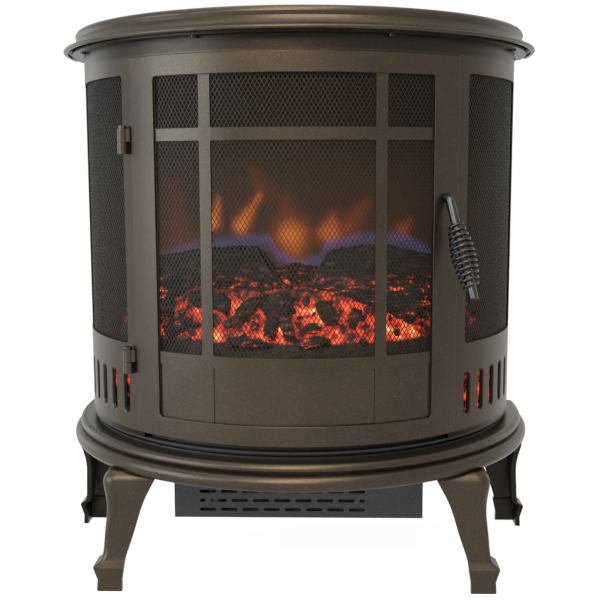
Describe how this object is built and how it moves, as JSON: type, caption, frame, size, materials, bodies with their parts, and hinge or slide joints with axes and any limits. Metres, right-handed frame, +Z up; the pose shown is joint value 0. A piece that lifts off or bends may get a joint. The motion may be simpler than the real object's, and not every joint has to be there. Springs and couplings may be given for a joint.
{
  "type": "electric stove heater",
  "caption": "Half-round bronze electric stove heater on cast legs, with a hinged mesh door, coil-wire handle, side mesh windows, log and ember fire and a fan heater below.",
  "frame": {"origin": "on the floor, at the middle of the overall width and depth", "axes": "+X to the viewer's right when facing the door, +Y from the door towards the flat back, +Z up"},
  "size_m": [0.588, 0.3117, 0.635],
  "materials": {
    "bronze_enamel": "satin bronze-brown enamel",
    "black_enamel": "matt black enamel",
    "slate_enamel": "satin dark slate enamel",
    "mesh_enamel": "satin bronze-brown enamel on expanded steel",
    "zinc_sheet": "zinc-coated steel sheet",
    "bright_steel": "plated steel",
    "blackened_steel": "blackened steel, satin",
    "element_steel": "sheathed element steel",
    "flame_screen_sheet": "translucent warm brown projection sheet",
    "charred_log": "charred bark moulding",
    "ember_moulding": "translucent ember moulding, dark coals",
    "lamp_glass": "frosted lamp glass",
    "white_ceramic": "white heat-proof holder",
    "motor_steel": "plated motor can",
    "black_plastic": "black heat-proof plastic",
    "gland_rubber": "black rubber gland"
  },
  "bodies": {
    "stove": {"top_plate": "bronze_enamel", "base_ring": "bronze_enamel", "body_shell": "bronze_enamel", "front_left_leg": "bronze_enamel", "front_right_leg": "bronze_enamel", "rear_left_leg": "bronze_enamel", "rear_right_leg": "bronze_enamel", "upper_hinge_bracket": "bronze_enamel", "lower_hinge_bracket": "bronze_enamel", "base_plate": "black_enamel", "neck_band": "black_enamel", "control_panel": "black_enamel", "firebox_floor": "black_enamel", "firebox_ceiling": "black_enamel", "magnetic_catch": "black_enamel", "heater_case": "slate_enamel", "heater_back": "slate_enamel", "left_side_mesh": "mesh_enamel", "right_side_mesh": "mesh_enamel", "back_panel": "zinc_sheet", "spindle_bearing": "zinc_sheet", "fan_bearing": "zinc_sheet", "flame_reflector": "zinc_sheet", "back_screws": "bright_steel", "leg_bolts": "bright_steel", "lid_screws": "blackened_steel", "heating_element": "element_steel", "thermal_cutout": "element_steel", "flame_screen": "flame_screen_sheet", "rear_left_log": "charred_log", "rear_right_log": "charred_log", "stub_log": "charred_log", "thin_log": "charred_log", "ember_bed": "ember_moulding", "lamps": "lamp_glass", "lamp_holders": "white_ceramic", "spindle_motor": "motor_steel", "fan_motor": "motor_steel", "power_switch_case": "black_plastic", "heat_switch_case": "black_plastic", "thermostat_case": "black_plastic", "dimmer_case": "black_plastic", "cord_inlet": "gland_rubber"},
    "door": {"door_frame": "bronze_enamel", "door_grid": "bronze_enamel", "door_mesh": "mesh_enamel", "upper_hinge_leaf": "bronze_enamel", "lower_hinge_leaf": "bronze_enamel", "hinge_pins": "blackened_steel", "handle_rod": "blackened_steel", "handle_coil": "blackened_steel", "handle_nut": "bright_steel", "grid_screws": "bright_steel"},
    "flame_spindle": {"flame_spindle": "bright_steel"},
    "fan_impeller": {"fan_impeller": "bright_steel"},
    "power_rocker": {"power_rocker": "black_plastic"},
    "heat_rocker": {"heat_rocker": "black_plastic"},
    "thermostat_knob": {"thermostat_knob": "black_plastic"},
    "dimmer_knob": {"dimmer_knob": "black_plastic"}
  },
  "joints": [
    {"name": "door_hinge", "type": "hinge", "parent": "stove", "child": "door", "pos_m": [-0.18791, -0.06356, 0.3795], "axis": [0, 0, -1], "range_deg": [0, 110]},
    {"name": "flame_spindle_turn", "type": "hinge", "parent": "stove", "child": "flame_spindle", "pos_m": [0, 0.11985, 0.318], "axis": [1, 0, 0], "continuous": true},
    {"name": "fan_impeller_turn", "type": "hinge", "parent": "stove", "child": "fan_impeller", "pos_m": [0, 0.07985, 0.1081], "axis": [1, 0, 0], "continuous": true},
    {"name": "power_rocker_turn", "type": "hinge", "parent": "stove", "child": "power_rocker", "pos_m": [-0.02488, -0.10085, 0.2155], "axis": [0.9945, -0.1045, 0], "range_deg": [0, 18]},
    {"name": "heat_rocker_turn", "type": "hinge", "parent": "stove", "child": "heat_rocker", "pos_m": [0.02488, -0.10085, 0.2155], "axis": [0.9945, 0.1045, 0], "range_deg": [0, 18]},
    {"name": "thermostat_knob_turn", "type": "hinge", "parent": "stove", "child": "thermostat_knob", "pos_m": [-0.07355, -0.0905, 0.2155], "axis": [-0.309, -0.9511, 0], "range_deg": [-135, 135]},
    {"name": "dimmer_knob_turn", "type": "hinge", "parent": "stove", "child": "dimmer_knob", "pos_m": [0.07355, -0.0905, 0.2155], "axis": [0.309, -0.9511, 0], "range_deg": [-135, 135]}
  ]
}
